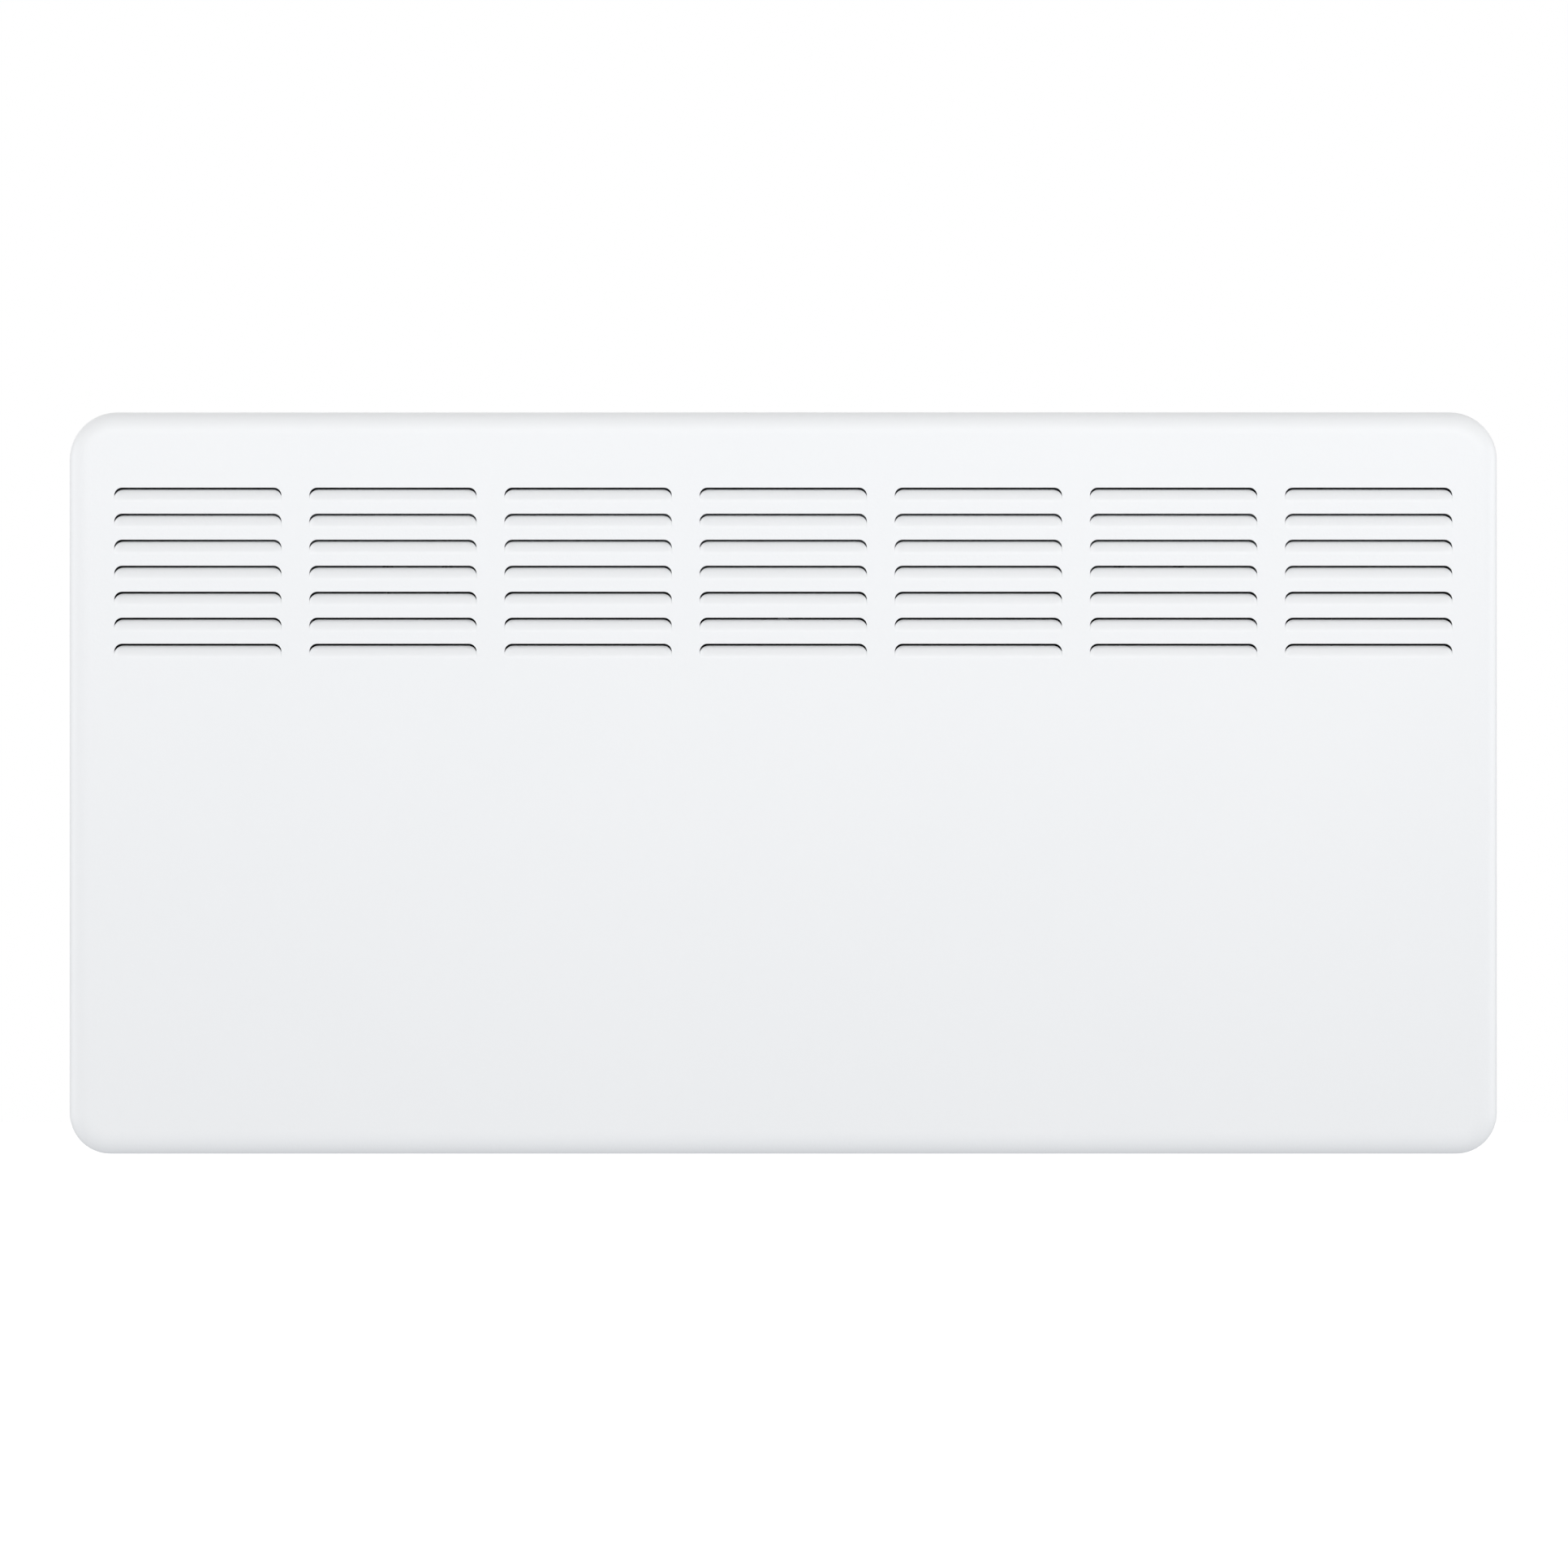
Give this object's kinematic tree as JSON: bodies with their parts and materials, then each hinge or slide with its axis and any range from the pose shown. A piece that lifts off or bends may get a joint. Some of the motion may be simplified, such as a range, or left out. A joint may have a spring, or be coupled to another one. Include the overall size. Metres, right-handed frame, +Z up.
{
  "type": "wall panel convector heater",
  "caption": "Flat wall-hung electric panel heater: pressed white cover with rows of louvres, finned element, end controls, back panel and hooked wall bracket.",
  "frame": {"origin": "on the wall plane, in the middle of the four wall fixing holes, behind the centre of the cover", "axes": "+X to the right seen from the front, +Y towards the wall, +Z up"},
  "size_m": [0.77, 0.086, 0.4],
  "materials": {
    "cover_coat": "satin white powder coat on pressed steel",
    "galvanised": "hot-dip galvanised sheet with faint spangle",
    "zinc_plate": "clear-passivated zinc plate on folded steel",
    "zinc_screws": "zinc-plated fasteners",
    "aluminium_rivets": "plain blind rivets",
    "bright_sheet": "bright aluminised reflector sheet",
    "fin_aluminium": "extruded aluminium, mill finish",
    "aluminium_cap": "drawn aluminium cap",
    "steel_sheath": "annealed stainless tube, slightly heat-tinted",
    "steel_pins": "plain steel",
    "ceramic_white": "unglazed steatite ceramic",
    "phenolic_black": "black thermoset moulding",
    "tinned_brass": "tinned brass terminals",
    "rubber_black": "soft black rubber",
    "silicone_strip": "silicone sponge strip",
    "bezel_plastic": "white moulded plastic, fine texture",
    "knob_plastic": "light grey moulded plastic",
    "rocker_plastic": "white moulded rocker",
    "switch_white": "white moulded switch frame and body",
    "lamp_amber": "amber lens",
    "clear_grey_plastic": "moulded lamp barrel",
    "block_plastic": "off-white moulded terminal block",
    "gland_plastic": "black nylon",
    "copper": "copper bulb and capillary",
    "lead_brown": "brown silicone-covered lead",
    "lead_blue": "blue silicone-covered lead",
    "lead_white": "white silicone-covered lead",
    "lead_green_yellow": "green lead with yellow stripe"
  },
  "bodies": {
    "wall_bracket": {"bracket_upright_left": "zinc_plate", "bracket_upright_right": "zinc_plate", "bracket_crossbar_upper": "zinc_plate", "bracket_crossbar_lower": "zinc_plate", "bracket_rivets": "zinc_screws"},
    "heater": {"front_cover": "cover_coat", "cover_screws": "zinc_screws", "back_panel": "galvanised", "latch_pivots": "zinc_screws", "latch_washers": "zinc_screws", "wall_spacers": "rubber_black", "heat_shield": "bright_sheet", "panel_rivets": "aluminium_rivets", "air_deflector": "galvanised", "deflector_seal": "silicone_strip", "partition": "galvanised", "heating_tube": "steel_sheath", "fin_block": "fin_aluminium", "element_pins": "steel_pins", "element_collars": "ceramic_white", "element_bushes_right": "ceramic_white", "element_bushes_left": "ceramic_white", "element_support": "galvanised", "cutout_bracket": "galvanised", "cutout_cap": "aluminium_cap", "cutout_body": "phenolic_black", "cutout_blades": "tinned_brass", "lead_grommet": "rubber_black", "control_bezel": "bezel_plastic", "bezel_studs": "zinc_screws", "bezel_nuts": "zinc_screws", "thermostat_body": "phenolic_black", "thermostat_blades": "tinned_brass", "thermostat_screws": "zinc_screws", "sensor_phial": "copper", "sensor_clip": "galvanised", "sensor_capillary": "copper", "lamp_lens": "lamp_amber", "lamp_body": "clear_grey_plastic", "switch_body": "switch_white", "switch_blades": "tinned_brass", "terminal_block": "block_plastic", "terminal_screws": "tinned_brass", "earth_stud": "zinc_screws", "earth_tag": "tinned_brass", "earth_nut": "zinc_screws", "cable_gland": "gland_plastic", "gland_nut": "gland_plastic", "wire_block_to_switch": "lead_brown", "wire_switch_to_thermostat": "lead_brown", "wire_thermostat_to_cutout": "lead_white", "wire_cutout_to_element": "lead_white", "wire_block_to_element": "lead_blue", "wire_earth": "lead_green_yellow"},
    "thermostat": {"thermostat_knob": "knob_plastic", "thermostat_spindle": "steel_pins"},
    "rocker": {"switch_rocker": "rocker_plastic"},
    "latch_left": {"latch_left": "zinc_plate"},
    "latch_right": {"latch_right": "zinc_plate"}
  },
  "joints": [
    {"name": "heater_lift", "type": "slide", "parent": "wall_bracket", "child": "heater", "axis": [0, 0, 1], "range_m": [0, 0.012]},
    {"name": "thermostat_turn", "type": "hinge", "parent": "heater", "child": "thermostat", "pos_m": [0.376, -0.046, 0.014], "axis": [-1, 0, 0], "range_deg": [-135, 135]},
    {"name": "switch_rock", "type": "hinge", "parent": "heater", "child": "rocker", "pos_m": [0.38, -0.046, -0.046], "axis": [0, 1, 0], "range_deg": [0, 18]},
    {"name": "latch_left_turn", "type": "hinge", "parent": "heater", "child": "latch_left", "pos_m": [-0.12, -0.0085, -0.176], "axis": [0, 1, 0], "range_deg": [0, 90]},
    {"name": "latch_right_turn", "type": "hinge", "parent": "heater", "child": "latch_right", "pos_m": [0.12, -0.0085, -0.176], "axis": [0, -1, 0], "range_deg": [0, 90]}
  ]
}
